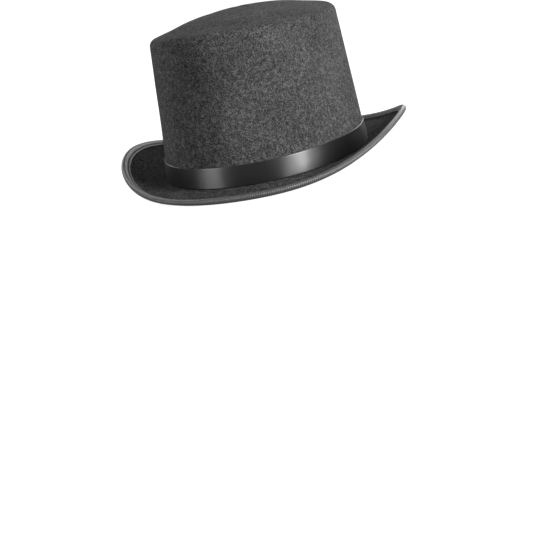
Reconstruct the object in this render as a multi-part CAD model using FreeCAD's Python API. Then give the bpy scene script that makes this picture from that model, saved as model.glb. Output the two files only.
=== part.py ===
import FreeCAD, Part
import math
import os
from FreeCAD import Vector

# Top hat in felt, standing on its brim. Millimetres, +Z up, front towards -Y,
# the wearer's left towards +X. The origin is on the ground under the hat's centre.
# Every ring round the head is written with an angle that starts at +X and turns
# towards +Y, so 90 degrees is the back and 270 degrees is the front.

# Crown
CROWN_HALF_WIDTH = 84.2
CROWN_HALF_LENGTH = 105.0
CROWN_TAPER_WIDTH = 8.4       # how much the half width shrinks from headline to rim
CROWN_TAPER_LENGTH = 6.9
CROWN_HEIGHT = 114.7          # headline to rim
DOME_RISE = 11.6              # rim to the middle of the tip
RIM_SADDLE = 1.8              # the rim is this much higher at front and back, lower at the sides
RIM_ROUND = 5.7
CROWN_FELT = 2.4

# Brim
BRIM_HALF_WIDTH = 120.8
BRIM_HALF_LENGTH = 138.0
BRIM_FELT = 2.0
EDGE_MEAN = 7.4               # height of the roll over the headline, averaged round the brim
EDGE_SADDLE = 11.6            # sides up, front and back down
EDGE_FLATTEN = 2.7            # keeps the front and back level for longer
BRIM_SWEEP = 0.5              # share of the rise that is an S curve, not a straight slope
CURL_RISE = 4.2               # the edge turns up by this much all round
CURL_REACH = 13.0             # over this much of the brim's width

# Folded binding round the edge, with the wire inside its roll
RIBBON = 0.5
ROLL_RADIUS = 2.3
ROLL_SHOULDER = 1.2           # behind the roll's middle, where its back slopes down to the fold
SHOULDER_SHARE = 0.62         # how much of the roll's extra height is left there
GROOVE_BEHIND = 2.8           # from the roll's middle in to the stitch groove
RIBBON_MARGIN = 2.3           # from the stitch groove in to the ribbon's own edge
WIRE_RADIUS = 0.7
WIRE_GAP = 1.0
JOINER_WALL = 0.45
JOINER_LENGTH = 16.0

# Bands
BAND_FOOT = 0.4               # the band's lower edge over the headline
BAND_HEIGHT = 16.7            # the band's upper edge over the headline
BAND_THICK = 0.6
BAND_GAP = 3.0                # between the band's two ends, under the keeper
KEEPER_WIDTH = 19.0
SWEAT_HEIGHT = 30.0
SWEAT_THICK = 0.8
SWEAT_GAP = 0.8
LINING = 0.35
LINING_START = 8.0            # lower edge of the lining, behind the sweatband
LINING_HANG = 0.5             # the lining's tip hangs this far under the rim's rounding
LABEL_WIDTH = 34.0
LABEL_HEIGHT = 20.0
LABEL_THICK = 0.3
LABEL_RAISE = 1.5             # the label's middle over half the sweatband's height

# Thread
THREAD = 0.45
BINDING_PITCH = 4.6
BINDING_STITCH = 3.4
SWEAT_PITCH = 9.0
SWEAT_STITCH = 5.0
SWEAT_ROW = 1.5               # height of the sweatband's row over the headline
OVERCAST_STITCH = 3.4         # from the crown's wall to the brim's felt, under the brim
OVERCAST_REACH = 2.2          # how far out on the brim such a stitch ends
KEEPER_STITCH = 2.4
KEEPER_MARGIN = 2.5           # from a keeper's stitch to the band's edge
LABEL_STITCH = 2.6
LABEL_STITCHES = 4            # at each end of the label
END_MARGIN = 1.5              # from a stitch to the end of the keeper or label
SEAM_DROP = 2.5               # the seam of the lining lies this far under its tip

# Clearances
SEWN = 0.05                   # between two cloth faces that are sewn together
WIRE_FREE = 0.1               # between the wire and its joiner
OVER_CLOTH = 0.02             # between a stitch and the firm cloth that it lies on
OVER_LINING = 0.08            # between a stitch and the curved cloth inside the crown
OVER_LABEL = 0.03
WIRE_PLAY = 1.1               # between the wire and the inside of the fold, at the edge

# Distances in from the outermost edge
GROOVE_INSET = ROLL_RADIUS + GROOVE_BEHIND
LIP_INSET = GROOVE_INSET + RIBBON_MARGIN
WIRE_INSET = RIBBON + WIRE_PLAY + WIRE_RADIUS

# Shapes that only cut
DOME_SPARE = 25.0             # the tip's surface runs this far past the crown's foot
BEYOND = 400.0                # longer than the whole hat, every way

RING_POINTS = 48
BACK = math.pi / 2


def edge_rise(angle):
    """Height of the roll's middle over the headline."""
    return EDGE_MEAN + EDGE_SADDLE * math.cos(2 * angle) + EDGE_FLATTEN * math.cos(4 * angle)


# Height of the headline, where crown and brim meet. It is set further down, from the
# lowest part of the brim, on which the hat stands.
HEADLINE_Z = 0.0


def crown_half_axes(height, inset=0.0):
    """Half width and half length of the crown at a height over the headline."""
    share = height / CROWN_HEIGHT
    wide = CROWN_HALF_WIDTH - CROWN_TAPER_WIDTH * share - inset
    long = CROWN_HALF_LENGTH - CROWN_TAPER_LENGTH * share - inset
    return wide, long


def oval(height, inset=0.0):
    wide, long = crown_half_axes(height, inset)
    centre = Vector(0, 0, HEADLINE_Z + height)
    ellipse = Part.Ellipse(centre + Vector(0, long, 0), centre + Vector(wide, 0, 0), centre)
    return Part.Wire([ellipse.toShape()])


def frustum(low, high, inset):
    """Solid that follows the crown's wall between two heights."""
    return Part.makeLoft([oval(low, inset), oval(high, inset)], True, True)


def wall_ring(low, high, outer_inset, thick):
    ring = frustum(low, high, outer_inset)
    core = frustum(low - 1.0, high + 1.0, outer_inset + thick)
    return ring.cut(core)


def dome_height(x, y, drop):
    """Height of the tip's surface: a dome whose rim is a shallow saddle."""
    wide, long = crown_half_axes(CROWN_HEIGHT)
    across = (DOME_RISE + RIM_SADDLE) * (x / wide) ** 2
    along = (DOME_RISE - RIM_SADDLE) * (y / long) ** 2
    return HEADLINE_Z + CROWN_HEIGHT + DOME_RISE - across - along - drop


def under_dome(drop):
    """Everything under the tip's surface, lowered by drop."""
    reach = CROWN_HALF_LENGTH + DOME_SPARE
    steps = [-reach, -reach / 2, 0.0, reach / 2, reach]
    grid = [[Vector(x, y, dome_height(x, y, drop)) for y in steps] for x in steps]
    surface = Part.BSplineSurface()
    surface.interpolate(grid)
    return surface.toShape().extrude(Vector(0, 0, -BEYOND))


def rounded_crown(inset, drop, bottom, rounding):
    """Closed crown shape, hollow or not, with its rim rounded."""
    body = frustum(bottom, CROWN_HEIGHT + DOME_RISE + 20.0, inset).common(under_dome(drop))
    rim = [e for e in body.Edges if e.BoundBox.ZMin > HEADLINE_Z + CROWN_HEIGHT / 2
           and e.BoundBox.XLength > CROWN_HALF_WIDTH]
    return body.makeFillet(rounding, rim)


def make_felt_crown():
    outside = rounded_crown(0.0, 0.0, -BRIM_FELT, RIM_ROUND)
    inside = rounded_crown(CROWN_FELT, CROWN_FELT, -BRIM_FELT - 5.0, RIM_ROUND - CROWN_FELT)
    return outside.cut(inside)


def brim_span(angle):
    """Headline point, outward direction and plan distance from there to the roll's middle."""
    wide, long = crown_half_axes(0.0, -SEWN)
    inner = Vector(wide * math.cos(angle), long * math.sin(angle), 0)
    middle = Vector((BRIM_HALF_WIDTH - ROLL_RADIUS) * math.cos(angle),
                    (BRIM_HALF_LENGTH - ROLL_RADIUS) * math.sin(angle), 0)
    reach = (middle - inner).Length
    return inner, (middle - inner) / reach, reach


def brim_rise(angle, share, reach):
    """Height over the headline's underside and slope, at a share of the way to the roll."""
    rise = edge_rise(angle) + BRIM_FELT / 2 - CURL_RISE
    curl = max(0.0, 1 - (1 - share) * reach / CURL_REACH)
    s_curve = share * share * (3 - 2 * share)
    height = rise * (BRIM_SWEEP * s_curve + (1 - BRIM_SWEEP) * share) + CURL_RISE * curl ** 2
    slope = rise / reach * (BRIM_SWEEP * 6 * share * (1 - share) + 1 - BRIM_SWEEP)
    return height, slope + 2 * CURL_RISE * curl / CURL_REACH


def roll_cosine(angle):
    """How much a length along the slope at the roll shortens in plan."""
    reach = brim_span(angle)[2]
    return math.cos(math.atan(brim_rise(angle, 1.0, reach)[1]))


def brim_point(angle, inset, lift):
    """Point on the brim: inset along the slope from the outermost edge, lift off the middle."""
    inner, outward, reach = brim_span(angle)
    share = 1 - (inset - ROLL_RADIUS) * roll_cosine(angle) / reach
    height, slope = brim_rise(angle, share, reach)
    tilt = math.atan(slope)
    base = inner + outward * (share * reach)
    base.z = HEADLINE_Z - BRIM_FELT / 2 + height
    lean = -lift * math.sin(tilt) * min(1.0, share)
    return base + outward * lean + Vector(0, 0, lift * math.cos(tilt))


def lowest_point():
    """Lowest point of the brim's underside and roll, with the headline where it is now."""
    lowest = 0.0
    for turn in [2 * math.pi * i / 360 for i in range(360)]:
        for inset in [0.5 * step for step in range(int(2 * headline_inset(turn)))]:
            depth = BRIM_FELT / 2
            if inset < LIP_INSET:
                depth += SEWN + RIBBON
            if abs(inset - ROLL_RADIUS) < 0.3:
                depth = ROLL_RADIUS
            lowest = min(lowest, brim_point(turn, inset, -depth).z)
    return lowest


def brim_ring(inset, lift):
    """Closed smooth curve round the brim, at one distance in from its edge."""
    turns = [2 * math.pi * i / RING_POINTS for i in range(RING_POINTS)]
    return closed_curve([brim_point(turn, inset, lift) for turn in turns])


def headline_inset(angle):
    return ROLL_RADIUS + brim_span(angle)[2] / roll_cosine(angle)


def share_ring(share, lift, edge_inset):
    """Curve round the brim at a share of the way from the headline to edge_inset."""
    points = []
    for i in range(RING_POINTS):
        angle = 2 * math.pi * i / RING_POINTS
        depth = headline_inset(angle)
        points.append(brim_point(angle, depth + (edge_inset - depth) * share, lift))
    return closed_curve(points)


def closed_curve(points):
    curve = Part.BSplineCurve()
    curve.interpolate(Points=points, PeriodicFlag=True)
    return Part.Wire([curve.toShape()])


def ring_solid(bands):
    """Solid bounded by bands of curves; each band starts on the curve that ends the last one."""
    faces = []
    for band in bands:
        faces += Part.makeLoft(band, False, len(band) == 2).Faces
    shell = Part.makeShell(faces)
    shell.sewShape()
    solid = Part.makeSolid(Part.Shell(shell.Faces))
    if solid.Volume < 0:
        solid.reverse()
    return solid


def make_felt_brim():
    """Felt ring from the headline into the fold of the binding."""
    edge = WIRE_INSET + WIRE_RADIUS + JOINER_WALL + WIRE_FREE + 2 * SEWN
    half = BRIM_FELT / 2
    shares = [0.0, 0.15, 0.3, 0.45, 0.6, 0.7, 0.78, 0.86, 0.93, 1.0]
    top = [share_ring(s, half, edge) for s in shares]
    under = [share_ring(s, -half, edge) for s in shares]
    return ring_solid([top, [top[-1], under[-1]], under[::-1], [under[0], top[0]]])


def binding_outline(skin):
    """Half section of the folded ribbon, lip to roll: list of (inset, lift).
    skin is 0 on the ribbon's outside and the ribbon's thickness on its inside."""
    flat = BRIM_FELT / 2 + SEWN + RIBBON - skin
    roll = ROLL_RADIUS - skin
    line = [(LIP_INSET, flat), ((LIP_INSET + GROOVE_INSET) / 2, flat), (GROOVE_INSET, flat)]
    line.append((ROLL_RADIUS + ROLL_SHOULDER, flat + SHOULDER_SHARE * (roll - flat)))
    for degrees in (90, 60, 30):
        turn = math.radians(degrees)
        line.append((ROLL_RADIUS - roll * math.cos(turn), roll * math.sin(turn)))
    return line, (ROLL_RADIUS - roll, 0.0)


def fold_rings(skin):
    line, nose = binding_outline(skin)
    rings = [brim_ring(inset, lift) for inset, lift in line]
    rings.append(brim_ring(*nose))
    rings += [brim_ring(inset, -lift) for inset, lift in line[::-1]]
    return rings


def make_brim_binding():
    outside = fold_rings(0.0)
    inside = fold_rings(RIBBON)
    return ring_solid([outside, [outside[-1], inside[-1]], inside[::-1], [inside[0], outside[0]]])


def bead_ring(radius):
    """Round bar inside the roll, round the wire's middle."""
    rings = []
    for step in range(13):
        turn = 2 * math.pi * step / 12
        rings.append(brim_ring(WIRE_INSET - radius * math.cos(turn), radius * math.sin(turn)))
    rings[-1] = rings[0]
    return ring_solid([rings[:7], rings[6:]])


def back_box(width):
    """Tall box over the back half of the hat, as wide as a gap or a short length there."""
    return Part.makeBox(width, BEYOND, BEYOND, Vector(-width / 2, 0, -BEYOND / 2))


def make_brim_wire():
    return bead_ring(WIRE_RADIUS).cut(back_box(WIRE_GAP))


def make_wire_joiner():
    bore = WIRE_RADIUS + WIRE_FREE
    short = back_box(JOINER_LENGTH)
    sleeve = bead_ring(bore + JOINER_WALL).common(short)
    return sleeve.cut(bead_ring(bore).common(back_box(JOINER_LENGTH + 4)))


def stitch(centre, along, out, length):
    """One visible stitch: a flat bar on the cloth."""
    along = along.normalize()
    out = (out - along * out.dot(along)).normalize()
    side = along.cross(out).normalize()
    corner = centre - along * (length / 2) - side * (THREAD / 2)
    base = Part.makePolygon([corner, corner + along * length, corner + along * length + side * THREAD,
                             corner + side * THREAD, corner])
    return Part.Face(base).extrude(out * (THREAD * 0.7))


def ring_angles(half_width, half_length, pitch):
    """Angles that are evenly spaced along an oval."""
    steps = 1440
    lengths = [0.0]
    for i in range(steps):
        angle = 2 * math.pi * (i + 0.5) / steps
        speed = math.hypot(half_width * math.sin(angle), half_length * math.cos(angle))
        lengths.append(lengths[-1] + speed * 2 * math.pi / steps)
    count = int(lengths[-1] / pitch)
    angles = []
    index = 0
    for k in range(count):
        wanted = lengths[-1] * k / count
        while lengths[index + 1] < wanted:
            index += 1
        angles.append(2 * math.pi * index / steps)
    return angles


def make_binding_stitches():
    lift = BRIM_FELT / 2 + SEWN + RIBBON + OVER_CLOTH
    stitches = []
    for angle in ring_angles(BRIM_HALF_WIDTH, BRIM_HALF_LENGTH, BINDING_PITCH):
        for side in (1, -1):
            centre = brim_point(angle, GROOVE_INSET, side * lift)
            ahead = brim_point(angle + 0.01, GROOVE_INSET, side * lift)
            above = brim_point(angle, GROOVE_INSET, side * (lift + 1.0))
            stitches.append(stitch(centre, ahead - centre, above - centre, BINDING_STITCH))
    return Part.makeCompound(stitches)


def make_hatband():
    ring = wall_ring(BAND_FOOT, BAND_HEIGHT, -SEWN - BAND_THICK, BAND_THICK)
    return ring.cut(back_box(BAND_GAP))


def make_hatband_keeper():
    ring = wall_ring(BAND_FOOT, BAND_HEIGHT + 0.2, -2 * SEWN - 2 * BAND_THICK, BAND_THICK)
    return ring.common(back_box(KEEPER_WIDTH))


def wall_point(angle, height, inset):
    wide, long = crown_half_axes(height, inset)
    return Vector(wide * math.cos(angle), long * math.sin(angle), HEADLINE_Z + height)


def make_hatband_stitches():
    inset = -2 * SEWN - 2 * BAND_THICK - OVER_CLOTH
    stitches = []
    for height in (KEEPER_MARGIN, BAND_HEIGHT - KEEPER_MARGIN):
        for side in (-1, 1):
            angle = BACK + side * (KEEPER_WIDTH / 2 - END_MARGIN) / crown_half_axes(height)[0]
            spot = wall_point(angle, height, inset)
            stitches.append(stitch(spot, Vector(0, 0, 1), Vector(0, 1, 0), KEEPER_STITCH))
    return Part.makeCompound(stitches)


SWEAT_INSET = CROWN_FELT + 2 * SEWN + LINING
INNER_FACE = SWEAT_INSET + SWEAT_THICK


def make_sweatband():
    ring = wall_ring(-BRIM_FELT, SWEAT_HEIGHT - BRIM_FELT, SWEAT_INSET, SWEAT_THICK)
    return ring.cut(back_box(SWEAT_GAP))


def inward(spot, wide, long):
    """Direction square to the crown's wall at a point on it, towards the head."""
    return Vector(-spot.x / wide ** 2, -spot.y / long ** 2, 0)


def make_sweatband_stitches():
    inset = INNER_FACE + OVER_LINING
    wide, long = crown_half_axes(SWEAT_ROW, inset)
    stitches = []
    for angle in ring_angles(wide, long, SWEAT_PITCH):
        spot = wall_point(angle, SWEAT_ROW, inset)
        along = wall_point(angle + 0.01, SWEAT_ROW, inset) - spot
        stitches.append(stitch(spot, along, inward(spot, wide, long), SWEAT_STITCH))
    return Part.makeCompound(stitches)


def make_headline_stitches():
    """Overcast stitches under the brim, from the crown's wall to the brim's felt."""
    wide, long = crown_half_axes(0.0)
    stitches = []
    for angle in ring_angles(wide, long, SWEAT_PITCH):
        inner = wall_point(angle, -BRIM_FELT, CROWN_FELT * 0.6)
        outer = brim_point(angle, headline_inset(angle) - OVERCAST_REACH, -BRIM_FELT / 2)
        middle = (inner + outer) * 0.5
        middle.z = inner.z - OVER_CLOTH
        run = Vector(outer.x - inner.x, outer.y - inner.y, 0)
        stitches.append(stitch(middle, run, Vector(0, 0, -1), OVERCAST_STITCH))
    return Part.makeCompound(stitches)


def make_lining_side():
    inset = CROWN_FELT + SEWN
    ring = wall_ring(LINING_START, CROWN_HEIGHT + DOME_RISE + 10.0, inset, LINING)
    return ring.common(under_dome(lining_tip_drop() + LINING + SEWN))


def lining_tip_drop():
    """How far the lining's tip hangs under the crown's, clear of the rim's rounding."""
    return RIM_ROUND + LINING_HANG


def make_lining_tip():
    inset = CROWN_FELT + SEWN
    post = frustum(CROWN_HEIGHT / 2, CROWN_HEIGHT + DOME_RISE + 10.0, inset)
    drop = lining_tip_drop()
    return post.common(under_dome(drop)).cut(under_dome(drop + LINING))


def make_lining_stitches():
    """Seam where the lining's side meets its tip."""
    inset = CROWN_FELT + SEWN + LINING + OVER_LINING
    stitches = []
    low = lining_tip_drop() + LINING + SEAM_DROP
    wide, long = crown_half_axes(CROWN_HEIGHT - low, inset)
    for angle in ring_angles(wide, long, SWEAT_PITCH):
        spot = wall_point(angle, CROWN_HEIGHT - low, inset)
        rise = dome_height(spot.x, spot.y, low) - spot.z
        spot = wall_point(angle, CROWN_HEIGHT - low + rise, inset)
        along = wall_point(angle + 0.01, CROWN_HEIGHT - low + rise, inset) - spot
        stitches.append(stitch(spot, along, inward(spot, wide, long), SWEAT_STITCH))
    return Part.makeCompound(stitches)


def label_base():
    return (SWEAT_HEIGHT - LABEL_HEIGHT) / 2 + LABEL_RAISE


def make_care_label():
    low = label_base()
    ring = wall_ring(low, low + LABEL_HEIGHT, INNER_FACE + SEWN, LABEL_THICK)
    return ring.common(back_box(LABEL_WIDTH))


def make_label_stitches():
    inset = INNER_FACE + SEWN + LABEL_THICK + OVER_LABEL
    stitches = []
    for side in (-1, 1):
        for step in range(LABEL_STITCHES):
            height = label_base() + LABEL_HEIGHT * (step + 0.5) / LABEL_STITCHES
            wide = crown_half_axes(height, inset)[0]
            angle = BACK + side * math.asin((LABEL_WIDTH / 2 - END_MARGIN) / wide)
            spot = wall_point(angle, height, inset)
            stitches.append(stitch(spot, Vector(0, 0, 1), Vector(-spot.x, -spot.y, 0), LABEL_STITCH))
    return Part.makeCompound(stitches)


HEADLINE_Z -= lowest_point()

MAKERS = {
    "felt_crown": make_felt_crown,
    "felt_brim": make_felt_brim,
    "brim_binding": make_brim_binding,
    "brim_wire": make_brim_wire,
    "wire_joiner": make_wire_joiner,
    "binding_stitches": make_binding_stitches,
    "hatband": make_hatband,
    "hatband_keeper": make_hatband_keeper,
    "hatband_stitches": make_hatband_stitches,
    "headline_stitches": make_headline_stitches,
    "sweatband": make_sweatband,
    "sweatband_stitches": make_sweatband_stitches,
    "lining_side": make_lining_side,
    "lining_tip": make_lining_tip,
    "lining_stitches": make_lining_stitches,
    "care_label": make_care_label,
    "label_stitches": make_label_stitches,
}

os.makedirs("parts", exist_ok=True)
for name, maker in MAKERS.items():
    shape = maker()
    shape.exportStep("parts/" + name + ".step")
    print(name, "solids", len(shape.Solids), "valid", shape.isValid(), "volume", round(shape.Volume, 1),
          "z", round(shape.BoundBox.ZMin, 2), round(shape.BoundBox.ZMax, 2))
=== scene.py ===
import math

import bpy
import numpy as np
from mathutils import Euler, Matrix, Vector


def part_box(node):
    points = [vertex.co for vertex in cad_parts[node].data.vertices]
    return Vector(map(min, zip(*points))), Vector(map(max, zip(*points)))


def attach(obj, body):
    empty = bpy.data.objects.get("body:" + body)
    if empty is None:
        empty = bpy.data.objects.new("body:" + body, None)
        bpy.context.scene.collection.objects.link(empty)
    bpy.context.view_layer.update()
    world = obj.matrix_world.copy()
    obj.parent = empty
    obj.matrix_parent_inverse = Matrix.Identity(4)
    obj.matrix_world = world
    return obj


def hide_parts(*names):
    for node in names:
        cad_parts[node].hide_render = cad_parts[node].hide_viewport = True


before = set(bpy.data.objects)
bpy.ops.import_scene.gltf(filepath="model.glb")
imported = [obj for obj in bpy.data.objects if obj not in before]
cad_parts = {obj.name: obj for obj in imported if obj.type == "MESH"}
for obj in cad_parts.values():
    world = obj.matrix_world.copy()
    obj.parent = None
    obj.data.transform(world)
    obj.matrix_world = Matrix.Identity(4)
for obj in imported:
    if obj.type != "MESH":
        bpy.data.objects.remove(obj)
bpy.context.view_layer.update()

MM = 0.001

# Sizes of the CAD model, in millimetres, or shares.
CROWN_HALF_WIDTH = 84.2
CROWN_HALF_LENGTH = 105.0
CROWN_TAPER_WIDTH = 8.4
CROWN_TAPER_LENGTH = 6.9
CROWN_HEIGHT = 114.7
DOME_RISE = 11.6
RIM_SADDLE = 1.8
RIM_ROUND = 5.7
CROWN_FELT = 2.4
BRIM_HALF_WIDTH = 120.8
BRIM_HALF_LENGTH = 138.0
BRIM_FELT = 2.0
EDGE_MEAN = 7.4
EDGE_SADDLE = 11.6
EDGE_FLATTEN = 2.7
BRIM_SWEEP = 0.5
CURL_RISE = 4.2
CURL_REACH = 13.0
RIBBON = 0.5
ROLL_RADIUS = 2.3
ROLL_SHOULDER = 1.2
SHOULDER_SHARE = 0.62
GROOVE_BEHIND = 2.8
RIBBON_MARGIN = 2.3
WIRE_RADIUS = 0.7
WIRE_FREE = 0.1
JOINER_WALL = 0.45
BAND_FOOT = 0.4
BAND_HEIGHT = 16.7
BAND_THICK = 0.6
BAND_GAP = 3.0
KEEPER_WIDTH = 19.0
KEEPER_PROUD = 0.2            # the keeper's upper edge over the band's
SWEAT_HEIGHT = 30.0
SWEAT_THICK = 0.8
SWEAT_GAP = 0.8
LINING = 0.35
LINING_START = 8.0
LINING_HANG = 0.5
LABEL_WIDTH = 34.0
LABEL_HEIGHT = 20.0
LABEL_THICK = 0.3
LABEL_RAISE = 1.5
THREAD = 0.45
BINDING_PITCH = 4.6
BINDING_STITCH = 3.4
SWEAT_PITCH = 9.0
SWEAT_STITCH = 5.0
SWEAT_ROW = 1.5               # height of the sweatband's row over the headline
OVERCAST_STITCH = 3.4
OVERCAST_REACH = 2.2
KEEPER_STITCH = 2.4
KEEPER_MARGIN = 2.5
LABEL_STITCH = 2.6
LABEL_STITCHES = 4
END_MARGIN = 1.5
SEAM_DROP = 2.5
OVER_CLOTH = 0.02
SEWN = 0.05

GROOVE_INSET = ROLL_RADIUS + GROOVE_BEHIND
LIP_INSET = GROOVE_INSET + RIBBON_MARGIN
SWEAT_INSET = CROWN_FELT + 2 * SEWN + LINING
INNER_FACE = SWEAT_INSET + SWEAT_THICK
LINING_INSET = CROWN_FELT + SEWN
TIP_DROP = RIM_ROUND + LINING_HANG
LABEL_FOOT = (SWEAT_HEIGHT - LABEL_HEIGHT) / 2 + LABEL_RAISE
BACK = math.pi / 2
UP = np.array([0, 0, 1.0])

# Soft shapes that the plain CAD solids leave out, in millimetres, or shares.
HOLLOW = 0.35                 # the tip sinks by this much just inside its rounded rim
HOLLOW_PLACE = 0.84           # share of the way from the tip's middle to its rim
HOLLOW_WIDTH = 0.10
HOLLOW_FADE = 0.06            # it fades out over this last share before the rim
UNEVEN = 0.32                 # the crown's felt wanders in and out by about this much
UNEVEN_FADE = 25.0            # which grows over this height above the band
CUT_BULGE = 0.15              # the brim felt's cut edge is this much fuller in its middle
EDGE_TUCK = 0.02              # the binding's lip stops this far short of the CAD ribbon's
FLANK = 1.4                   # from the stitch groove out to the last point before the roll's arc
PINCH = 0.36                  # the stitches pull the binding in by this much
PINCH_WIDTH = 0.45
LIP_SWELL = 0.30              # the binding's lip swells by this much
LIP_SWELL_WIDTH = 0.55
LIP_SWELL_INSET = 0.75        # from the ribbon's edge to the middle of that swelling
GROOVE_SINK = 0.16            # the binding's threads lie this deep under the ribbon's flat face
KEEPER_LIFT = 0.2             # the keeper's threads lie this far off the CAD keeper
SWEAT_LIFT = 0.1              # the sweatband's threads lie this far off its inner face
BELLY = 0.30                  # the lining's side hangs off the wall by about this much half way up
PLEAT = 0.22                  # and is gathered towards the tip in pleats about this deep
TIP_MARGIN = 0.4              # the lining's tip stops this far in from the lining's outer face,
TIP_SEAM = 3.0                # as wide and as long as that is at this depth under the rim
PUCKER = 0.35                 # the lining's tip puckers by this much at its seam
TIP_SAG = 0.5                 # and sags by this much in its middle
SEAM_LIFT = 0.3               # the lining's threads lie this far off the lining's side
LABEL_CLEAR = 0.35            # the label lies this far off the sweatband's CAD face
EDGE_ROUND = 0.3              # share of a ribbon's thickness that its edges are rounded by

# The crown's felt ends one brim thickness below the headline.
HEADLINE_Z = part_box("felt_crown")[0][2] / MM + BRIM_FELT


def turns(count):
    """Evenly spaced angles, once round."""
    return np.arange(count) * 2 * math.pi / count


def ripple(angle, along, seed, around=(2, 9), across=(0.0, 0.12), terms=9):
    """Smooth unevenness from -1 to 1, closed round the hat, the same on every run."""
    rng = np.random.default_rng(seed)
    total = np.zeros(np.broadcast(angle, along).shape)
    for _ in range(terms):
        k = rng.integers(around[0], around[1] + 1)
        wave = rng.uniform(*across) * rng.choice([-1, 1])
        total = total + np.cos(k * angle + wave * along + rng.uniform(0, 2 * math.pi))
    return total / math.sqrt(terms) * 0.7


# ---------------------------------------------------------------- shapes of the hat

def crown_axes(height, inset=0.0):
    """Half width and half length of the crown at a height over the headline."""
    share = height / CROWN_HEIGHT
    wide = CROWN_HALF_WIDTH - CROWN_TAPER_WIDTH * share - inset
    long = CROWN_HALF_LENGTH - CROWN_TAPER_LENGTH * share - inset
    return wide, long


def wall_point(angle, height, inset):
    """Points on the crown's wall, moved in by inset."""
    wide, long = crown_axes(height, inset)
    x, y, z = np.broadcast_arrays(wide * np.cos(angle), long * np.sin(angle), HEADLINE_Z + height)
    return np.stack([x, y, z], -1)


def wall_normal(angle):
    """Outward direction of the crown's wall, level with the ground."""
    n = np.stack([np.cos(angle) / CROWN_HALF_WIDTH, np.sin(angle) / CROWN_HALF_LENGTH,
                  0 * angle], -1)
    return n / np.linalg.norm(n, axis=-1, keepdims=True)


def dome_height(x, y, drop=0.0):
    """Height of the tip over the headline: a dome whose rim is a shallow saddle."""
    wide, long = crown_axes(CROWN_HEIGHT)
    across = (DOME_RISE + RIM_SADDLE) * (x / wide) ** 2
    along = (DOME_RISE - RIM_SADDLE) * (y / long) ** 2
    return CROWN_HEIGHT + DOME_RISE - across - along - drop


def wall_top(angle, inset, drop):
    """Height where the wall would meet the tip if the rim between them weren't rounded."""
    top = np.full(angle.shape, CROWN_HEIGHT)
    for _ in range(6):
        wide, long = crown_axes(top, inset)
        top = dome_height(wide * np.cos(angle), long * np.sin(angle), drop)
    return top


def edge_rise(angle):
    """Height of the roll's middle over the headline."""
    return EDGE_MEAN + EDGE_SADDLE * np.cos(2 * angle) + EDGE_FLATTEN * np.cos(4 * angle)


def brim_span(angle):
    """Headline point, outward direction and plan distance to the roll's middle."""
    wide, long = crown_axes(0.0, -SEWN)
    inner = np.stack([wide * np.cos(angle), long * np.sin(angle)], -1)
    middle = np.stack([(BRIM_HALF_WIDTH - ROLL_RADIUS) * np.cos(angle),
                       (BRIM_HALF_LENGTH - ROLL_RADIUS) * np.sin(angle)], -1)
    reach = np.linalg.norm(middle - inner, axis=-1)
    return inner, (middle - inner) / reach[..., None], reach


def brim_rise(angle, share, reach):
    """Height over the headline's underside and slope, at a share of the way to the roll."""
    rise = edge_rise(angle) + BRIM_FELT / 2 - CURL_RISE
    curl = np.maximum(0.0, 1 - (1 - share) * reach / CURL_REACH)
    s_curve = share * share * (3 - 2 * share)
    height = rise * (BRIM_SWEEP * s_curve + (1 - BRIM_SWEEP) * share) + CURL_RISE * curl ** 2
    slope = rise / reach * (BRIM_SWEEP * 6 * share * (1 - share) + 1 - BRIM_SWEEP)
    return height, slope + 2 * CURL_RISE * curl / CURL_REACH


def roll_cosine(angle):
    """How much a length along the slope at the roll shortens in plan."""
    reach = brim_span(angle)[2]
    return np.cos(np.arctan(brim_rise(angle, 1.0, reach)[1]))


def brim_point(angle, inset, lift):
    """Point on the brim: inset along the slope from its outermost edge, lift off its middle."""
    angle = np.asarray(angle, float)
    inner, outward, reach = brim_span(angle)
    share = 1 - (inset - ROLL_RADIUS) * roll_cosine(angle) / reach
    height, slope = brim_rise(angle, share, reach)
    tilt = np.arctan(slope)
    away = share * reach - lift * np.sin(tilt) * np.minimum(1.0, share)
    plan = inner + outward * away[..., None]
    z = HEADLINE_Z - BRIM_FELT / 2 + height + lift * np.cos(tilt)
    return np.concatenate([plan, z[..., None]], -1)


def headline_inset(angle):
    """Distance from the brim's outermost edge in to the headline, along the slope."""
    return ROLL_RADIUS + brim_span(angle)[2] / roll_cosine(angle)


# ---------------------------------------------------------------- meshes

def lengths(points):
    """Running length along a line of points."""
    return np.concatenate([[0.0], np.cumsum(np.linalg.norm(np.diff(points, axis=0), axis=1))])


def make_object(name, points, faces, material, uvs=None):
    mesh = bpy.data.meshes.new(name)
    mesh.from_pydata((points * MM).tolist(), [], faces)
    if uvs is not None:
        layer = mesh.uv_layers.new(name="UVMap")
        layer.data.foreach_set("uv", np.asarray(uvs, float).ravel() * MM)
    mesh.polygons.foreach_set("use_smooth", [True] * len(mesh.polygons))
    mesh.update()
    mesh.materials.append(material)
    piece = bpy.data.objects.new(name, mesh)
    bpy.context.scene.collection.objects.link(piece)
    return piece


def signed_volume(points, faces):
    """Six times the volume inside the faces, negative if they face inwards."""
    total = 0.0
    for face in faces:
        a = points[face[0]]
        for k in range(1, len(face) - 1):
            total += np.dot(a, np.cross(points[face[k]], points[face[k + 1]]))
    return total


def facing_out(points, faces, uvs):
    """The same faces and UVs, turned round if they face inwards. A sample of them shows that."""
    sample = faces[:: max(1, len(faces) // 4000)]
    if signed_volume(points, sample) >= 0:
        return faces, uvs
    turned, start = [], 0
    for face in faces:
        turned.append(uvs[start:start + len(face)][::-1])
        start += len(face)
    return [face[::-1] for face in faces], np.vstack(turned)


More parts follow.
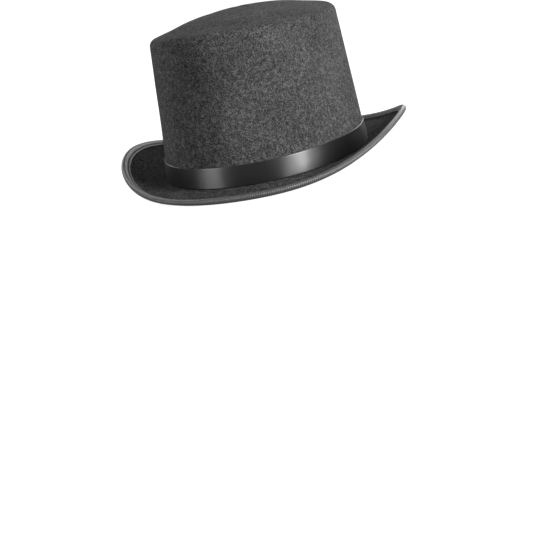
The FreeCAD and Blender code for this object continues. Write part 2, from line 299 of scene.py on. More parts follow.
def pole_faces(points, grid, u, v):
    """Triangles that close the grid's first and last rows, each round a new point in its middle."""
    rows, columns = grid.shape[:2]
    faces, uvs = [], []
    for row, flip in ((0, False), (rows - 1, True)):
        points = np.vstack([points, grid[row].mean(0)])
        centre = len(points) - 1
        for c in range(columns):
            a, b = row * columns + c, row * columns + (c + 1) % columns
            faces.append([centre, a, b] if flip else [centre, b, a])
            uvs += [(u[c], v[row])] * 3
    return points, faces, uvs


def end_faces(rows, columns, u, v):
    """One face over each end of a ribbon that doesn't close round the hat."""
    faces, uvs = [], []
    for c, flip in ((0, False), (columns - 1, True)):
        loop = [r * columns + c for r in range(rows)]
        faces.append(loop[::-1] if flip else loop)
        uvs += [(u[c], v[r]) for r in range(rows)]
    return faces, uvs


def grid_piece(name, grid, material, closed_round=True, poles=False):
    """Mesh from a grid of points: the first index runs along the section, the second round the
    hat. The section closes on itself, or ends in a pole at each end. UVs are lengths on the
    cloth: U round the hat, V along the section."""
    rows, columns = grid.shape[:2]
    points = grid.reshape(-1, 3)
    middle, column = grid[rows // 2], grid[:, 0]
    u = lengths(np.concatenate([middle, middle[:1]]))
    v = lengths(np.concatenate([column, column[:1]]))
    row_count = rows - 1 if poles else rows
    column_count = columns if closed_round else columns - 1
    i, j = np.meshgrid(np.arange(row_count), np.arange(column_count), indexing="ij")
    i2, j2 = (i + 1) % rows, (j + 1) % columns
    quads = np.stack([i * columns + j, i * columns + j2, i2 * columns + j2, i2 * columns + j], -1)
    quad_uv = np.stack([np.stack([u[j], v[i]], -1), np.stack([u[j + 1], v[i]], -1),
                        np.stack([u[j + 1], v[i + 1]], -1), np.stack([u[j], v[i + 1]], -1)], -2)
    faces, uvs = quads.reshape(-1, 4).tolist(), quad_uv.reshape(-1, 2)
    extra, extra_uv = [], []
    if poles:
        points, extra, extra_uv = pole_faces(points, grid, u, v)
    elif not closed_round:
        extra, extra_uv = end_faces(rows, columns, u, v)
    if extra:
        faces, uvs = faces + extra, np.vstack([uvs, np.array(extra_uv)])
    faces, uvs = facing_out(points, faces, uvs)
    return make_object(name, points, faces, material, uvs)


def ribbon_section(low, high, inner, outer, steps, edge):
    """Closed section of a flat ribbon as a list of (height, offset). Its edges are rounded by
    the length edge."""
    up = np.linspace(low + edge, high - edge, steps)
    half = (inner + outer) / 2
    out = [(h, outer) for h in up]
    top = [(high, outer - edge), (high, half), (high, inner + edge)]
    down = [(h, inner) for h in up[::-1]]
    foot = [(low, inner + edge), (low, half), (low, outer - edge)]
    return out + top + down + foot


def thread_shape(centre, along, out, length):
    """One stitch: a thread that comes up out of the cloth, lies on it and dives back in. Its
    ends are thinner, and it is a little flatter than it is wide."""
    rings, sides = 9, 8
    along = along / np.linalg.norm(along)
    out = out - along * np.dot(out, along)
    out = out / np.linalg.norm(out)
    side = np.cross(along, out)
    points = []
    for r in range(rings):
        s = -1 + 2 * r / (rings - 1)
        rise = THREAD * 0.42 * (1 - s ** 4) - THREAD * 0.25
        spine = centre + along * (s * length / 2) + out * rise
        radius = THREAD / 2 * (0.55 + 0.45 * (1 - s ** 6))
        for k in range(sides):
            a = 2 * math.pi * k / sides
            points.append(spine + side * radius * math.cos(a) + out * radius * 0.8 * math.sin(a))
    faces = []
    for r in range(rings - 1):
        for k in range(sides):
            a, b = r * sides + k, r * sides + (k + 1) % sides
            faces.append([a, b, b + sides, a + sides])
    faces.append(list(range(sides))[::-1])
    faces.append([(rings - 1) * sides + k for k in range(sides)])
    return np.array(points), faces


def thread_piece(name, stitches, material):
    """One mesh of many stitches, each given as centre, direction, outward direction, length."""
    points, faces, offset = [], [], 0
    for stitch in stitches:
        stitch_points, stitch_faces = thread_shape(*stitch)
        points.append(stitch_points)
        faces += [[k + offset for k in face] for face in stitch_faces]
        offset += len(stitch_points)
    return make_object(name, np.vstack(points), faces, material)


def ring_angles(half_width, half_length, pitch):
    """Angles that are evenly spaced along an oval, about one pitch apart."""
    steps = 1440
    middle = (np.arange(steps) + 0.5) * 2 * math.pi / steps
    speed = np.hypot(half_width * np.sin(middle), half_length * np.cos(middle))
    total = np.concatenate([[0.0], np.cumsum(speed * 2 * math.pi / steps)])
    count = int(total[-1] / pitch)
    wanted = total[-1] * np.arange(count) / count
    return np.interp(wanted, total, np.arange(steps + 1) * 2 * math.pi / steps)


# ---------------------------------------------------------------- materials

class Nodes:
    """Short way to write a node material."""

    def __init__(self, name):
        self.material = bpy.data.materials.new(name)
        self.material.use_nodes = True
        self.tree = self.material.node_tree
        self.shader = self.tree.nodes["Principled BSDF"]

    def add(self, kind, inputs=None, **settings):
        node = self.tree.nodes.new(kind)
        for key, value in settings.items():
            setattr(node, key, value)
        for key, value in (inputs or {}).items():
            self.put(node.inputs[key], value)
        return node

    def put(self, socket, value):
        if isinstance(value, bpy.types.NodeSocket):
            self.tree.links.new(value, socket)
        elif isinstance(value, bpy.types.Node):
            self.tree.links.new(value.outputs[0], socket)
        else:
            socket.default_value = value

    def place(self, scale=(1, 1, 1), turn=(0, 0, 0), uv=False):
        source = self.add("ShaderNodeTexCoord").outputs["UV" if uv else "Object"]
        return self.add("ShaderNodeMapping", {"Vector": source, "Scale": scale, "Rotation": turn})

    def noise(self, where, scale, detail=4.0, rough=0.6, distort=0.0):
        return self.add("ShaderNodeTexNoise", {"Vector": where, "Scale": scale, "Detail": detail,
                                               "Roughness": rough, "Distortion": distort}).outputs[0]

    def math(self, operation, a, b=0.0, c=0.0):
        node = self.add("ShaderNodeMath", operation=operation)
        for socket, value in zip(node.inputs, (a, b, c)):
            self.put(socket, value)
        return node.outputs[0]

    def ramp(self, value, stops):
        node = self.add("ShaderNodeValToRGB", {"Fac": value})
        elements = node.color_ramp.elements
        while len(elements) < len(stops):
            elements.new(0.5)
        for element, (place, colour) in zip(elements, stops):
            element.position = place
            element.color = (*colour, 1)
        return node.outputs[0]

    def mix(self, factor, a, b, blend="MIX"):
        node = self.add("ShaderNodeMix", data_type="RGBA", blend_type=blend)
        for key, value in ((0, factor), (6, a), (7, b)):
            self.put(node.inputs[key], (*value, 1) if isinstance(value, tuple) else value)
        return node.outputs[2]

    def bump(self, height, distance, strength):
        return self.add("ShaderNodeBump", {"Height": height, "Distance": distance,
                                           "Strength": strength}).outputs[0]

    def finish(self, **sockets):
        names = {"base": "Base Color", "roughness": "Roughness", "normal": "Normal",
                 "metallic": "Metallic", "sheen": "Sheen Weight", "sheen_roughness": "Sheen Roughness",
                 "sheen_tint": "Sheen Tint", "specular": "Specular IOR Level",
                 "anisotropic": "Anisotropic", "turn": "Anisotropic Rotation",
                 "tangent": "Tangent"}
        for key, value in sockets.items():
            if isinstance(value, tuple) and len(value) == 3:
                value = (*value, 1)
            self.put(self.shader.inputs[names[key]], value)
        return self.material


def grey(level, warm=0.0):
    """A grey with a trace of blue, or of red and yellow where warm is more than 0."""
    return (level * (1 + warm), level, level * (1 - warm * 1.2 + 0.02))


def felt_material(name, dark, light):
    """Brushed wool felt: two shades of wool, fine fibres, soft clouds and a pale nap."""
    n = Nodes(name)
    where = n.place()
    speck = n.noise(where, 980.0, 3.0, 0.7, 0.3)
    tiny = n.noise(where, 2100.0, 2.0, 0.6)
    patch = n.noise(where, 300.0, 3.0, 0.6)
    cloud = n.noise(where, 24.0, 3.0, 0.55)
    fibres = n.noise(n.place((620, 1300, 2300), (0.3, 0.2, 0.5)), 1.0, 2.0, 0.6, 0.4)
    for turn, scale in (((0.7, 1.1, 0.4), (2100, 760, 900)), ((1.2, 0.9, 0.2), (800, 2400, 1000))):
        more = n.noise(n.place(scale, turn), 1.0, 2.0, 0.6, 0.4)
        fibres = n.math("MAXIMUM", fibres, more)
    mixed = n.math("ADD", n.math("MULTIPLY", speck, 0.54), n.math("MULTIPLY", tiny, 0.22))
    mixed = n.math("ADD", mixed, n.math("MULTIPLY", patch, 0.24))
    between = grey((dark * light) ** 0.5 * 1.15)
    wool = n.ramp(mixed, [(0.40, grey(dark)), (0.50, between), (0.605, grey(light))])
    hairs = n.ramp(fibres, [(0.62, (0, 0, 0)), (0.74, (1, 1, 1))])
    wool = n.mix(n.math("MULTIPLY", hairs, 0.55), wool, grey(light * 2.2))
    shade = n.ramp(cloud, [(0.3, (0.76, 0.76, 0.76)), (0.7, (1.18, 1.18, 1.18))])
    wool = n.mix(1.0, wool, shade, "MULTIPLY")
    height = n.math("ADD", n.math("MULTIPLY", mixed, 0.6), n.math("MULTIPLY", fibres, 0.5))
    return n.finish(base=wool, roughness=0.95, specular=0.06, sheen=0.02, sheen_roughness=0.35,
                    sheen_tint=(0.85, 0.86, 0.9), normal=n.bump(height, 0.0010, 0.5))


def fold_highlight_and_shade(n, cloth, shade, fold):
    """Painted light on a folded ribbon: painted highlight along its edge (the lip) and towards its
    fold, painted shade in the stitch groove. The stops are mm from the ribbon's edge and how bright it
    is there."""
    brightest = 2.2
    parts = n.add("ShaderNodeSeparateXYZ", {"Vector": cloth})
    off = n.math("ABSOLUTE", n.math("SUBTRACT", parts.outputs[1], fold * MM))
    edge = n.math("SUBTRACT", 1.0, n.math("DIVIDE", off, fold * MM))
    # The pale stops at the edge are a painted highlight, and the last stop lightens the roll a little
    # towards the fold as painted highlight; the dark stops round 2.2 mm are painted shade in the
    # stitch groove.
    stops = [(0.0, 2.1), (0.9, 1.9), (1.5, 0.5), (2.2, 0.14), (2.9, 0.30), (4.0, 0.80), (6.0, 1.1)]
    painted_light = n.ramp(edge, [(at / fold, (k / brightest,) * 3) for at, k in stops])
    shade = n.mix(1.0, shade, painted_light, "MULTIPLY")
    return n.mix(1.0, shade, (brightest,) * 3, "MULTIPLY")


def ribbed_material(name, level, rib, gloss, sheen=0.25, fold=None):
    """Grosgrain: ribs across the ribbon, fine warp threads along it. rib is the width in mm of
    a rib, and of the furrow beside it. fold is the width in mm from the ribbon's edge to its
    fold, if it is folded."""
    n = Nodes(name)
    cloth = n.place(uv=True)
    ribs = n.add("ShaderNodeTexWave", {"Vector": cloth, "Scale": 1 / (rib * MM) / 20 * math.pi,
                                       "Distortion": 0.15, "Detail": 1.0},
                 wave_type="BANDS", bands_direction="X", wave_profile="SIN").outputs[1]
    warp = n.noise(n.place((500, 6500, 1), uv=True), 1.0, 2.0, 0.6)
    wear = n.noise(n.place(), 60.0, 4.0, 0.6)
    fine = n.noise(n.place(), 900.0, 3.0, 0.7)
    shade = n.ramp(ribs, [(0.0, grey(level * 0.55)), (1.0, grey(level * 1.25))])
    shade = n.mix(n.math("MULTIPLY", fine, 0.5), shade, grey(level * 0.6))
    patches = n.ramp(wear, [(0.45, (0, 0, 0)), (0.75, (0.35, 0.35, 0.35))])
    shade = n.mix(patches, shade, grey(level * 1.5))
    if fold:
        # Painted highlight along the lip and the roll, painted shade in the stitch groove.
        shade = fold_highlight_and_shade(n, cloth, shade, fold)
    height = n.math("ADD", n.math("MULTIPLY", ribs, 0.8), n.math("MULTIPLY", warp, 0.25))
    rough = n.math("MULTIPLY_ADD", fine, 0.2, gloss)
    return n.finish(base=shade, roughness=rough, specular=0.5, sheen=sheen, sheen_roughness=0.35,
                    normal=n.bump(height, 0.0003, 0.8))


def satin_material(name, level, gloss, upright=False):
    """Satin: long floats along the ribbon, so its shine spreads across it. upright is for a
    ribbon that runs up the crown."""
    n = Nodes(name)
    floats = n.noise(n.place((9000, 350, 1) if upright else (350, 9000, 1), uv=True), 1.0, 3.0, 0.6)
    weave = n.noise(n.place((2600, 2600, 1), uv=True), 1.0, 2.0, 0.5)
    slow = n.noise(n.place(), 45.0, 3.0, 0.5)
    base = n.ramp(floats, [(0.3, grey(level * 0.6)), (0.7, grey(level * 1.5))])
    rough = n.math("ADD", n.math("MULTIPLY_ADD", slow, 0.06, gloss - 0.03),
                   n.math("MULTIPLY", weave, 0.05))
    height = n.math("ADD", n.math("MULTIPLY", floats, 0.6), n.math("MULTIPLY", weave, 0.4))
    tangent = n.add("ShaderNodeTangent", direction_type="UV_MAP", uv_map="UVMap").outputs[0]
    return n.finish(base=base, roughness=rough, specular=0.70, anisotropic=0.65,
                    turn=0.0 if upright else 0.25, tangent=tangent,
                    normal=n.bump(height, 0.00003, 0.4))


def thread_material(name, level):
    """Sewing thread with its twist."""
    n = Nodes(name)
    twist = n.noise(n.place((2500, 2500, 5200), (0.5, 0.6, 0.2)), 1.0, 2.0, 0.5)
    base = n.ramp(twist, [(0.3, grey(level * 0.5)), (0.7, grey(level * 1.5))])
    return n.finish(base=base, roughness=0.55, specular=0.4, sheen=0.2,
                    normal=n.bump(twist, 0.0002, 0.6))


def metal_material(name, level):
    """Drawn steel with fine scratches."""
    n = Nodes(name)
    drawn = n.noise(n.place((900, 900, 4000)), 1.0, 3.0, 0.6)
    base = n.ramp(drawn, [(0.3, grey(level * 0.8)), (0.7, grey(level * 1.1))])
    return n.finish(base=base, metallic=1.0, roughness=n.math("MULTIPLY_ADD", drawn, 0.2, 0.25),
                    normal=n.bump(drawn, 0.00005, 0.4))


def label_material(name, level):
    """Woven tape in plain weave."""
    n = Nodes(name)
    warp = n.add("ShaderNodeTexWave", {"Vector": n.place(uv=True), "Scale": 520.0},
                 bands_direction="X").outputs[1]
    weft = n.add("ShaderNodeTexWave", {"Vector": n.place(uv=True), "Scale": 420.0},
                 bands_direction="Y").outputs[1]
    cloth = n.math("MAXIMUM", warp, weft)
    dust = n.noise(n.place(), 300.0, 4.0, 0.6)
    base = n.ramp(cloth, [(0.2, grey(level * 0.75, 0.03)), (0.9, grey(level, 0.03))])
    base = n.mix(n.math("MULTIPLY", dust, 0.3), base, grey(level * 0.8, 0.05))
    return n.finish(base=base, roughness=0.6, specular=0.4, sheen=0.2,
                    normal=n.bump(cloth, 0.0001, 0.6))


FELT = felt_material("felt", 0.007, 0.094)
# The brim's felt is a darker copy of the crown's felt: painted shade over the brim.
BRIM = felt_material("brim_felt", 0.002, 0.092)
SATIN = satin_material("satin_band", 0.005, 0.37)
KEEPER = satin_material("keeper_satin", 0.009, 0.42, upright=True)
SWEAT = ribbed_material("sweat_ribbon", 0.040, 1.0, 0.6)
LINING_SATIN = satin_material("lining_satin", 0.045, 0.36)
DARK_THREAD = thread_material("dark_thread", 0.03)
PALE_THREAD = thread_material("pale_thread", 0.5)
WIRE = metal_material("spring_wire", 0.5)
JOINER = metal_material("joiner_metal", 0.6)
LABEL = label_material("label_cloth", 0.6)


# ---------------------------------------------------------------- pieces

def keep(piece, node):
    """Put a piece on the hat's root body and hide the CAD node that it stands for."""
    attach(piece, "root")
    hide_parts(node)
    return piece


def rim_rows(angle, corner, inset, tangent, weight, wall_lean, dome_lean):
    """Points round the rim: a conic arc that leaves the wall and meets the tip without a kink."""
    wide, long = crown_axes(corner, inset)
    rows = []
    for t in np.linspace(0, 1, 12)[1:]:
        a, b, c = (1 - t) ** 2, 2 * weight * t * (1 - t), t * t
        total = a + b + c
        down = a * tangent * np.cos(wall_lean) / total
        over = c * tangent * np.cos(dome_lean) / total
        rise = c * tangent * np.sin(dome_lean) / total
        back = a * tangent * np.sin(wall_lean) / total
        x = (wide - over + back) * np.cos(angle)
        y = (long - over + back) * np.sin(angle)
        rows.append(np.stack([x, y, HEADLINE_Z + corner - down + rise], -1))
    return rows


def tip_rows(rim, drop, steps):
    """Points from the rim in to near the tip's middle, with a slight hollow inside the rim."""
    rows = []
    for share in np.linspace(1, 0.015, steps)[1:]:
        x, y = rim[:, 0] * share, rim[:, 1] * share
        dip = HOLLOW * math.exp(-((share - HOLLOW_PLACE) / HOLLOW_WIDTH) ** 2)
        dip = dip * min(1.0, (1 - share) / HOLLOW_FADE)
        rows.append(np.stack([x, y, HEADLINE_Z + dome_height(x, y, drop) - dip], -1))
    return rows


def crown_profile(angle, inset, drop, rounding, wall_steps, tip_steps):
    """Points from the foot of the wall over the rim to near the middle, for every angle."""
    cos, sin = np.cos(angle), np.sin(angle)
    foot = -BRIM_FELT
    corner = wall_top(angle, inset, drop)
    wide, long = crown_axes(corner, inset)
    step = 1.0
    inward = dome_height((wide - step) * cos, (long - step) * sin, drop) - corner
    wall_lean = np.arctan(0.5 * (CROWN_TAPER_WIDTH + CROWN_TAPER_LENGTH) / CROWN_HEIGHT)
    dome_lean = np.arctan(inward / step)
    half_turn = (math.pi / 2 - wall_lean - dome_lean) / 2
    tangent = rounding * np.tan(half_turn)
    rows = []
    for share in np.linspace(0, 1, wall_steps) ** 0.9:
        height = foot + (corner - tangent * math.cos(wall_lean) - foot) * share
        rows.append(wall_point(angle, height, inset))
    rows += rim_rows(angle, corner, inset, tangent, np.cos(half_turn), wall_lean, dome_lean)
    rows += tip_rows(rows[-1], drop, tip_steps)
    return np.stack(rows)


def soften(grid, seed, amount):
    """Felt is never quite even: slow hollows and swellings along the surface's own normal."""
    angle = turns(grid.shape[1])[None, :]
    along = np.concatenate([[0.0], np.cumsum(np.linalg.norm(np.diff(grid, axis=0), axis=2).mean(1))])
    wave = ripple(angle, along[:, None], seed)
    along_row = np.gradient(grid, axis=1)
    along_column = np.gradient(grid, axis=0)
    normal = np.cross(along_row, along_column)
    normal /= np.linalg.norm(normal, axis=2, keepdims=True) + 1e-9
    return grid + normal * (wave * amount)[..., None]


def make_crown():
    angle = turns(300)
    outside = crown_profile(angle, 0.0, 0.0, RIM_ROUND, 60, 44)
    inside = crown_profile(angle, CROWN_FELT, CROWN_FELT, RIM_ROUND - CROWN_FELT, 30, 24)
    fade = np.clip((outside[..., 2] - HEADLINE_Z - BAND_HEIGHT) / UNEVEN_FADE, 0, 1)[..., None]
    outside = outside + (soften(outside, 5, UNEVEN) - outside) * fade
    grid = np.concatenate([outside[::-1], inside])
    keep(grid_piece("crown_felt", grid, FELT, poles=True), "felt_crown")


def make_brim():
    angle = turns(320)
    edge = ROLL_RADIUS + WIRE_RADIUS + JOINER_WALL + WIRE_FREE + 2 * SEWN
    depth = headline_inset(angle)
    half = BRIM_FELT / 2
    shares = np.linspace(0, 1, 40)
    top = [brim_point(angle, depth + (edge - depth) * s, half) for s in shares]
    under = [brim_point(angle, depth + (edge - depth) * s, -half) for s in shares[::-1]]
    cut = [brim_point(angle, edge - CUT_BULGE, lift) for lift in (half * 0.6, 0, -half * 0.6)]
    keep(grid_piece("brim_sheet", np.stack(top + cut + under), BRIM), "felt_brim")


def binding_half(skin):
    """Half section of the folded ribbon from its lip to its roll, with a pinch at the stitches.
    skin is 0 on the ribbon's outside and the ribbon's thickness on its inside."""
    flat = BRIM_FELT / 2 + SEWN + RIBBON - skin
    roll = ROLL_RADIUS - skin
    inset = np.linspace(LIP_INSET - EDGE_TUCK, GROOVE_INSET - FLANK, 22)
    shoulder = ROLL_RADIUS + ROLL_SHOULDER
    climb = np.clip((GROOVE_INSET - inset) / (GROOVE_INSET - shoulder), 0, 1)
    lift = flat + SHOULDER_SHARE * (roll - flat) * climb ** 1.5
    if skin == 0:
        lift = lift - PINCH * np.exp(-((inset - GROOVE_INSET) / PINCH_WIDTH) ** 2)
        swell = (inset - LIP_INSET + LIP_SWELL_INSET) / LIP_SWELL_WIDTH
        lift = lift + LIP_SWELL * np.exp(-swell ** 2)
    line = list(zip(inset, lift))
    for degrees in (90, 78, 66, 54, 42, 30, 18, 8):
        turn = math.radians(degrees)
        line.append((ROLL_RADIUS - roll * math.cos(turn), roll * math.sin(turn)))
    return line, (ROLL_RADIUS - roll, 0.0)


def fold_width():
    """Width of the ribbon from its edge to its fold, along its outer face."""
    line, nose = binding_half(0.0)
    return sum(math.dist(a, b) for a, b in zip(line, line[1:] + [nose]))


def make_binding():
    angle = turns(800)
    faces = []
    for skin in (0.0, RIBBON):
        line, nose = binding_half(skin)
        section = line + [nose] + [(inset, -lift) for inset, lift in line[::-1]]
        faces.append(np.stack([brim_point(angle, inset, lift) for inset, lift in section]))
    grid = np.concatenate([faces[0], faces[1][::-1]])
    material = ribbed_material("binding_ribbon", 0.052, 0.8, 0.32, 0.07, fold_width())
    binding = keep(grid_piece("binding_ribbon", grid, material), "brim_binding")


def make_binding_stitches():
    lift = BRIM_FELT / 2 + SEWN + RIBBON - GROOVE_SINK
    stitches = []
    for angle in ring_angles(BRIM_HALF_WIDTH, BRIM_HALF_LENGTH, BINDING_PITCH):
        for side in (1, -1):
            centre = brim_point(angle, GROOVE_INSET, side * lift)
            ahead = brim_point(angle + 0.01, GROOVE_INSET, side * lift)
            above = brim_point(angle, GROOVE_INSET, side * (lift + 1.0))
            stitches.append((centre, ahead - centre, above - centre, BINDING_STITCH))
    keep(thread_piece("binding_thread", stitches, DARK_THREAD), "binding_stitches")


def wall_ribbon(name, low, high, outer_inset, thick, material, steps, wave, half_width=None,
                gap=None, count=60):
    """Ribbon that follows the crown's wall. half_width keeps only that much each side of the
    back; gap leaves an opening there instead. wave(angle, share) moves it off the wall."""
    reach = crown_axes(low, outer_inset)[0]
    if half_width:
        half = math.asin(half_width / reach)
        angle = np.linspace(BACK - half, BACK + half, count)
    else:
        half = math.asin(gap / 2 / reach)
        angle = np.linspace(BACK + half, BACK + 2 * math.pi - half, count)
    inner, outer = -outer_inset - thick, -outer_inset
    outward = wall_normal(angle)
    rows = []
    for height, offset in ribbon_section(low, high, inner, outer, steps, thick * EDGE_ROUND):
        off = wave(angle, (height - low) / (high - low))
        rows.append(wall_point(angle, height, -offset) + outward * off[:, None])
    return grid_piece(name, np.stack(rows), material, closed_round=False)


def band_wave(angle, share):
    """How far the satin band stands off the wall; share runs from its foot to its upper edge."""
    slow = ripple(angle, share * 20.0, 21, (2, 7), (0.0, 0.05))
    fine = ripple(angle, share * 20.0, 22, (14, 40), (0.0, 0.12))
    return 0.14 + 0.12 * slow + 0.05 * fine + 0.05 * np.sin(math.pi * share)


def keeper_wave(angle, share):
    fine = ripple(angle, share * 16, 31, (6, 22), (0, 0.3))
    return 0.22 + 0.20 * math.sin(math.pi * share) + 0.08 * fine


def sweat_wave(angle, share):
    """The sweatband leans in towards the head, more at its upper edge."""
    return -0.35 * share ** 2 * (1 + ripple(angle, share * 10, 41, (5, 18), (0, 0.05)))


def label_wave(angle, share):
    return 0.10 * ripple(angle, share * 20, 71, (6, 20), (0, 0.2))


def make_hatband():
    band = wall_ribbon("satin_ribbon", BAND_FOOT, BAND_HEIGHT, -SEWN - BAND_THICK, BAND_THICK, SATIN,
                       34, band_wave, gap=BAND_GAP, count=1200)
    keep(band, "hatband")


def make_keeper():
    keeper = wall_ribbon("ribbon_keeper", BAND_FOOT, BAND_HEIGHT + KEEPER_PROUD,
                         -2 * SEWN - 2 * BAND_THICK, BAND_THICK, KEEPER, 30, keeper_wave,
                         half_width=KEEPER_WIDTH / 2)
    keep(keeper, "hatband_keeper")


def make_band_stitches():
    inset = -2 * SEWN - 2 * BAND_THICK - KEEPER_LIFT
    stitches = []
    for height in (KEEPER_MARGIN, BAND_HEIGHT - KEEPER_MARGIN):
        for side in (-1, 1):
            angle = BACK + side * (KEEPER_WIDTH / 2 - END_MARGIN) / crown_axes(height)[0]
            spot = wall_point(angle, height, inset)
            stitches.append((spot, UP, np.array([0, 1.0, 0]), KEEPER_STITCH))
    keep(thread_piece("band_thread", stitches, DARK_THREAD), "hatband_stitches")


def make_sweatband():
    sweat = wall_ribbon("sweat_ribbon", -BRIM_FELT, SWEAT_HEIGHT - BRIM_FELT, SWEAT_INSET, SWEAT_THICK,
                        SWEAT, 30, sweat_wave, gap=SWEAT_GAP, count=900)
    keep(sweat, "sweatband")


def inward(spot, wide, long):
    """Direction square to the crown's wall at a point on it, towards the head."""
    return np.array([-spot[0] / wide ** 2, -spot[1] / long ** 2, 0])


def make_sweatband_stitches():
    inset = INNER_FACE + SWEAT_LIFT
    wide, long = crown_axes(SWEAT_ROW, inset)
    stitches = []
    for angle in ring_angles(wide, long, SWEAT_PITCH):
        spot = wall_point(angle, SWEAT_ROW, inset)
        along = wall_point(angle + 0.01, SWEAT_ROW, inset) - spot
        stitches.append((spot, along, inward(spot, wide, long), SWEAT_STITCH))
    keep(thread_piece("sweat_thread", stitches, DARK_THREAD), "sweatband_stitches")


def make_headline_stitches():
    """Overcast stitches under the brim, from the crown's wall to the brim's felt."""
    wide, long = crown_axes(0.0)
    stitches = []
    for angle in ring_angles(wide, long, SWEAT_PITCH):
        inner = wall_point(angle, -BRIM_FELT, CROWN_FELT * 0.6)
        outer = brim_point(angle, headline_inset(angle) - OVERCAST_REACH, -BRIM_FELT / 2)
        middle = (inner + outer) * 0.5
        middle[2] = min(inner[2], outer[2]) - OVER_CLOTH
        run = np.array([outer[0] - inner[0], outer[1] - inner[1], 0])
        stitches.append((middle, run, -UP, OVERCAST_STITCH))
    keep(thread_piece("headline_thread", stitches, DARK_THREAD), "headline_stitches")


def make_lining_side():
    """Satin inside the crown's wall, gathered towards the tip."""
    angle = turns(720)
    top = wall_top(angle, LINING_INSET, TIP_DROP + LINING + SEWN)
    pleats = ripple(angle, 0.0, 51, (30, 70), (0, 0), 12)
    slow = ripple(angle, 0.0, 52, (5, 14), (0, 0), 6)
    shares = np.linspace(0, 1, 40)
    rows = []
    for depth, run in ((0.0, shares), (LINING, shares[::-1])):
        for share in run:
            height = LINING_START + (top - LINING_START) * share
            belly = BELLY * math.sin(math.pi * share) ** 0.7 * (1 + slow)
            hang = belly + PLEAT * share * (1 + pleats)
            rows.append(wall_point(angle, height, LINING_INSET + depth + hang))
    side = grid_piece("lining_side_satin", np.stack(rows), LINING_SATIN)
    keep(side, "lining_side")


def make_lining_tip():
    """Oval of satin under the tip, puckered at its seam and sagging a little in its middle."""
    angle = turns(720)
    wide, long = crown_axes(CROWN_HEIGHT - TIP_SEAM, LINING_INSET + TIP_MARGIN)
    puckers = ripple(angle, 0.0, 61, (24, 60), (0, 0), 10)
    rows = []
    for depth, shares in ((0.0, np.linspace(0.02, 1, 40)), (LINING, np.linspace(1, 0.02, 40))):
        for share in shares:
            x, y = wide * share * np.cos(angle), long * share * np.sin(angle)
            pucker = PUCKER * share ** 4 * (1 + puckers)
            drop = TIP_DROP + depth + pucker + TIP_SAG * (1 - share ** 2)
            rows.append(np.stack([x, y, HEADLINE_Z + dome_height(x, y, drop)], -1))
    tip = grid_piece("lining_tip_satin", np.stack(rows), LINING_SATIN, poles=True)
    keep(tip, "lining_tip")


def make_lining_stitches():
    """Seam where the lining's side meets its tip."""
    low = TIP_DROP + LINING + SEAM_DROP
    inset = LINING_INSET + LINING + SEAM_LIFT
    wide, long = crown_axes(CROWN_HEIGHT - low, inset)
    stitches = []
    for angle in ring_angles(wide, long, SWEAT_PITCH):
        spot = wall_point(angle, CROWN_HEIGHT - low, inset)
        height = dome_height(spot[0], spot[1], low)
        spot = wall_point(angle, height, inset)
        along = wall_point(angle + 0.01, height, inset) - spot
        stitches.append((spot, along, inward(spot, wide, long), SWEAT_STITCH))
    keep(thread_piece("lining_thread", stitches, DARK_THREAD), "lining_stitches")


def make_label():
    label = wall_ribbon("woven_label", LABEL_FOOT, LABEL_FOOT + LABEL_HEIGHT, INNER_FACE + LABEL_CLEAR,
                        LABEL_THICK, LABEL, 24, label_wave, half_width=LABEL_WIDTH / 2)
    keep(label, "care_label")


def make_label_stitches():
    inset = INNER_FACE + LABEL_CLEAR + LABEL_THICK
    stitches = []
    for side in (-1, 1):
        for step in range(LABEL_STITCHES):
            height = LABEL_FOOT + LABEL_HEIGHT * (step + 0.5) / LABEL_STITCHES
            wide = crown_axes(height, inset)[0]
            angle = BACK + side * math.asin((LABEL_WIDTH / 2 - END_MARGIN) / wide)
            spot = wall_point(angle, height, inset)
            stitches.append((spot, UP, np.array([-spot[0], -spot[1], 0]), LABEL_STITCH))
    keep(thread_piece("label_thread", stitches, PALE_THREAD), "label_stitches")


def dress_metal():
    """The wire and its joiner keep their CAD shapes and get a steel finish."""
    for node, material in (("brim_wire", WIRE), ("wire_joiner", JOINER)):
        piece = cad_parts[node]
        piece.data.materials.clear()
        piece.data.materials.append(material)


make_crown()
make_brim()
make_binding()
make_binding_stitches()
make_hatband()
make_keeper()
make_band_stitches()
make_sweatband()
make_sweatband_stitches()
make_headline_stitches()
make_lining_side()
make_lining_tip()
make_lining_stitches()
make_label()
make_label_stitches()
dress_metal()


# ---------------------------------------------------------------- studio

FLOOR_REACH = 30.0            # metres each way, so that its edges are out of sight
FLOOR_GLOW = 0.92             # glow that only the camera sees, on top of the lit floor
WORLD_LIGHT = 0.17            # how strongly the surroundings light the hat
WORLD_SEEN = 0.97             # and how bright the camera sees them
AIM = (0, 0, 0.06)            # the lamps point here, inside the hat

CAMERA_PLACE = (0.25892, -0.95698, 0.19577)
CAMERA_DEGREES = (73.602, 10.568, 13.158)
CAMERA_LENS = 79.92
CAMERA_SENSOR = 36.0


def add_to_scene(name, data):
    thing = bpy.data.objects.new(name, data)
    bpy.context.scene.collection.objects.link(thing)
    return thing


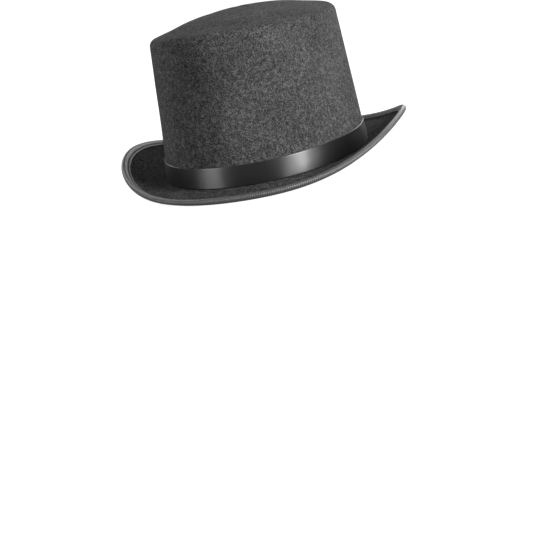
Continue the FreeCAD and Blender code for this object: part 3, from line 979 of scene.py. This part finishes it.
def make_floor():
    """Pale floor. Its glow is for the camera alone, so that it doesn't light the hat."""
    n = Nodes("studio_floor")
    grain = n.noise(n.place(), 3.0, 2.0, 0.5)
    base = n.ramp(grain, [(0.3, (0.29, 0.29, 0.29)), (0.7, (0.30, 0.30, 0.30))])
    n.shader.inputs["Emission Color"].default_value = (1, 1, 1, 1)
    seen = n.add("ShaderNodeLightPath").outputs["Is Camera Ray"]
    n.put(n.shader.inputs["Emission Strength"], n.math("MULTIPLY", seen, FLOOR_GLOW))
    material = n.finish(base=base, roughness=0.9, specular=0.0)
    mesh = bpy.data.meshes.new("floor")
    corners = [(x * FLOOR_REACH, y * FLOOR_REACH, 0) for x, y in ((-1, -1), (1, -1), (1, 1), (-1, 1))]
    mesh.from_pydata(corners, [], [(0, 1, 2, 3)])
    mesh.materials.append(material)
    add_to_scene("floor", mesh)


def make_world():
    """Even white surroundings, brighter to the camera than as a light on the hat."""
    world = bpy.data.worlds.new("studio")
    bpy.context.scene.world = world
    world.use_nodes = True
    nodes, links = world.node_tree.nodes, world.node_tree.links
    background = nodes["Background"]
    background.inputs[0].default_value = (1, 1, 1, 1)
    seen = nodes.new("ShaderNodeLightPath")
    level = nodes.new("ShaderNodeMapRange")
    level.inputs["To Min"].default_value = WORLD_LIGHT
    level.inputs["To Max"].default_value = WORLD_SEEN
    links.new(seen.outputs["Is Camera Ray"], level.inputs["Value"])
    links.new(level.outputs[0], background.inputs[1])


def area_light(name, place, size, power):
    light = bpy.data.lights.new(name, "AREA")
    light.shape = "RECTANGLE"
    light.size, light.size_y = size
    light.energy = power
    lamp = add_to_scene(name, light)
    lamp.location = place
    lamp.rotation_euler = (Vector(AIM) - Vector(place)).to_track_quat("-Z", "Y").to_euler()


def make_lights():
    area_light("key", (1.30, -0.56, 0.45), (0.50, 0.95), 46)
    area_light("fill", (-1.05, -0.95, 0.42), (0.66, 0.80), 14)
    area_light("rim", (-1.00, 1.00, 0.60), (0.60, 0.80), 4)
    area_light("back", (0.30, 1.45, 0.50), (0.90, 0.80), 9)
    sky = bpy.data.lights.new("top", "SUN")
    sky.energy = 0.55
    sky.angle = math.radians(70)
    lamp = add_to_scene("top", sky)
    lamp.rotation_euler = Vector((-0.10, 0.25, -1)).to_track_quat("-Z", "Y").to_euler()


def make_camera():
    data = bpy.data.cameras.new("camera")
    data.lens = CAMERA_LENS
    data.sensor_width = CAMERA_SENSOR
    camera = add_to_scene("camera", data)
    camera.location = CAMERA_PLACE
    camera.rotation_euler = Euler([math.radians(a) for a in CAMERA_DEGREES], "XYZ")
    bpy.context.scene.camera = camera


make_floor()
make_world()
make_lights()
make_camera()
bpy.context.scene.view_settings.view_transform = "Standard"
